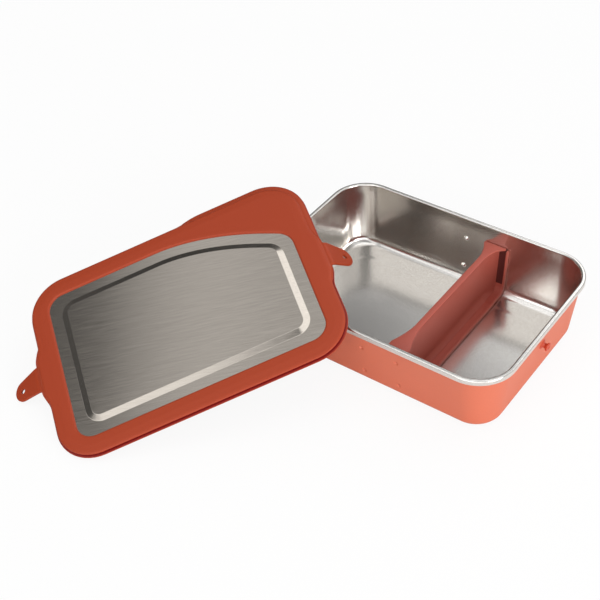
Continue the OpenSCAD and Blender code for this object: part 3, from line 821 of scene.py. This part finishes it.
# The second colour is painted shade, laid into the groove round the lid's side between 0.3 and 2.1
# mm below the lid's plane.
orange_tone, groove_painted_shade = srgb(160, 57, 24), srgb(128, 8, 12)
lid_place = {"turn": lid_turn, "origin": (lid_centre * 0.001).tolist()}
orange = Finish("orange_silicone", Base_Color=orange_tone, Roughness=0.45, Specular_IOR_Level=0.3)
groove_shaded_range = [(2, -0.0021, -0.0003)]
border_orange_shaded = silicone("orange_silicone_border_painted_shade", orange_tone, groove_painted_shade, groove_shaded_range, **lid_place)

ring_rows = [
    (ring_in + ring_wide, -flange_deep),
    (ring_in + ring_wide, 0.4 - ring_deep),
    (ring_in + ring_wide - 0.3, -ring_deep),
    (ring_in + 0.4, -ring_deep),
    (ring_in + 0.1, 0.4 - ring_deep),
    (ring_in, -flange_deep),
]
side_rows = [  # inset, height, tabs, lip, and the inset where it is bulged
    (0.55, -flange_deep, 1, 1),
    (0.15, -2.65, 1, 1),
    (0.01, -2.35, 1, 1),
    (0.15, -2.05, 1, 1),
    (0.6, -1.9, 1, 1, 0.3),
    (2.9, -1.75, 1, 1, 0.3),
    (2.9, -0.55, 1, 1, 0.3),
    (1.7, -0.5, 1, 1, 0.42),
    (1.4, -0.35, 1, 1, 0.75),
    (1.25, -0.1, 1, 0, 0.6),
    (1.2, 0.05, 1, 0, 0.3),
]
shoulder_rows = [
    (3.7 - 2.5 * cos(a), 0.1 + sin(a), 1 - 0.2 * sin(a)) for a in np.linspace(0, pi / 2, 9)
]
top_rows = [(5.5, 1.2, 0.5), (7.3, 1.32, 0.15), (7.75, top_high, 0.1), (8.4, top_high)]
border = [plate_line_at(0, -flange_deep)]
border += [frame_edge(*row) for row in ring_rows + side_rows + shoulder_rows + top_rows]
border.append(plate_line_at(-lap, top_high))
for a in np.linspace(pi / 2, 0, 7):
    border.append(plate_line_at(lap / 2 * (cos(a) - 1), top_high * sin(a)))
border.append(border[0])
frame_points, frame_faces = skin(border, False, False)
add_piece(
    "lid_border", on_lid(frame_points), frame_faces, border_orange_shaded, "lid", "lid_frame",
    "orange_silicone", 45,
)

# ---------------------------------------------------------------- Pull tabs
# A flat ear of the same silicone at each end of the lid, with a hole that snaps over the
# peg. The silicone bends at its root, so each droops from the lid's edge by its own angle.
tab_thick, tab_root, tab_round, tab_centre = 1.8, 9.7, 7.57, 13.4
tab_base, tab_edge = -1.6, 0.15
hole_at, hole_r = 14.2, 1.8
droops = {"right": 53.0, "left": 21.0}
bend_half, blend_half = 1.3, 1.6  # half the length that is bent at rest, and that bends
tangent_run = sqrt(tab_centre**2 + tab_root**2)
tangent_turn = pi - atan2(tab_root, tab_centre) - acos(tab_round / tangent_run)
tab_outline = np.array(
    [(tab_base, -tab_root - 0.5), (-0.4, -tab_root - 0.1), (0, -tab_root)]
    + arc(tab_centre, 0, tab_round, -tangent_turn, tangent_turn, 33)
    + [(0, tab_root), (-0.4, tab_root + 0.1), (tab_base, tab_root + 0.5)]
)
tab_angles = np.linspace(0, 2 * pi, 120, endpoint=False)


def tab_reach(angle):
    """Distance from the hole's centre out to the tab's outline."""
    ray = np.array([cos(angle), sin(angle)])
    best = 0.0
    for p, q in zip(tab_outline, np.roll(tab_outline, -1, axis=0)):
        side = q - p
        det = ray[0] * side[1] - ray[1] * side[0]
        if abs(det) < 1e-9:
            continue
        w = p - (hole_at, 0)
        along = (w[0] * side[1] - w[1] * side[0]) / det
        share = (w[0] * ray[1] - w[1] * ray[0]) / det
        if along > 0 and -1e-6 <= share <= 1 + 1e-6:
            best = max(best, along)
    return best


tab_reaches = np.array([tab_reach(a) for a in tab_angles])
half_t = tab_thick / 2
bevel_z = half_t - tab_edge


def tab_ring(share, pull, h):
    """A ring from the hole at share 0 to the outline less pull at share 1, at the height h."""
    reach = hole_r + (tab_reaches - pull - hole_r) * share
    x, y = hole_at + reach * np.cos(tab_angles), reach * np.sin(tab_angles)
    return np.column_stack([x, y, np.full(len(x), h)])


spans = (0.02, 0.1, 0.25, 0.45, 0.62, 0.75, 0.82, 0.88, 0.94, 1)
rounded = [(tab_edge, bevel_z), (0, half_t - 0.5), (0, 0.5 - half_t), (tab_edge, -bevel_z)]
tab_rings = [tab_ring(0, 0, h) for h in (-bevel_z, 0, bevel_z)]
tab_rings += [tab_ring(t, 0.5, half_t) for t in spans]
tab_rings += [tab_ring(1, p, h) for p, h in rounded]
tab_rings += [tab_ring(t, 0.5, -half_t) for t in spans[::-1]]
tab_rings.append(tab_rings[0])
flat_points, tab_faces = skin(tab_rings, False, False)
for side, name in ((1, "right"), (-1, "left")):
    turn = radians(droops[name])
    curve_r = bend_half / tan(turn / 2)
    s, w, h = flat_points.T
    a = turn * np.clip((s + bend_half) / (2 * bend_half), 0, 1)
    x = np.where(s < -bend_half, s, -bend_half + curve_r * np.sin(a))
    z = np.where(s < -bend_half, 0, -curve_r * (1 - np.cos(a)))
    beyond = np.clip(s - bend_half, 0, None)
    x += beyond * cos(turn) + h * np.sin(a)
    z += -beyond * sin(turn) + h * np.cos(a)
    hung = np.column_stack([side * (hinge_x + x), w, hinge_z + z])
    tab = add_piece(
        f"pull_tab_{name}", on_lid(hung), tab_faces, orange, None, f"lid_tab_{name}",
        "orange_silicone", 45,
    )
    fixed = side * (hinge_x - blend_half), 0, hinge_z
    free = side * (hinge_x + blend_half * cos(turn)), 0, hinge_z - blend_half * sin(turn)
    fixed, free = on_lid([fixed, free]) * 0.001
    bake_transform(tab)
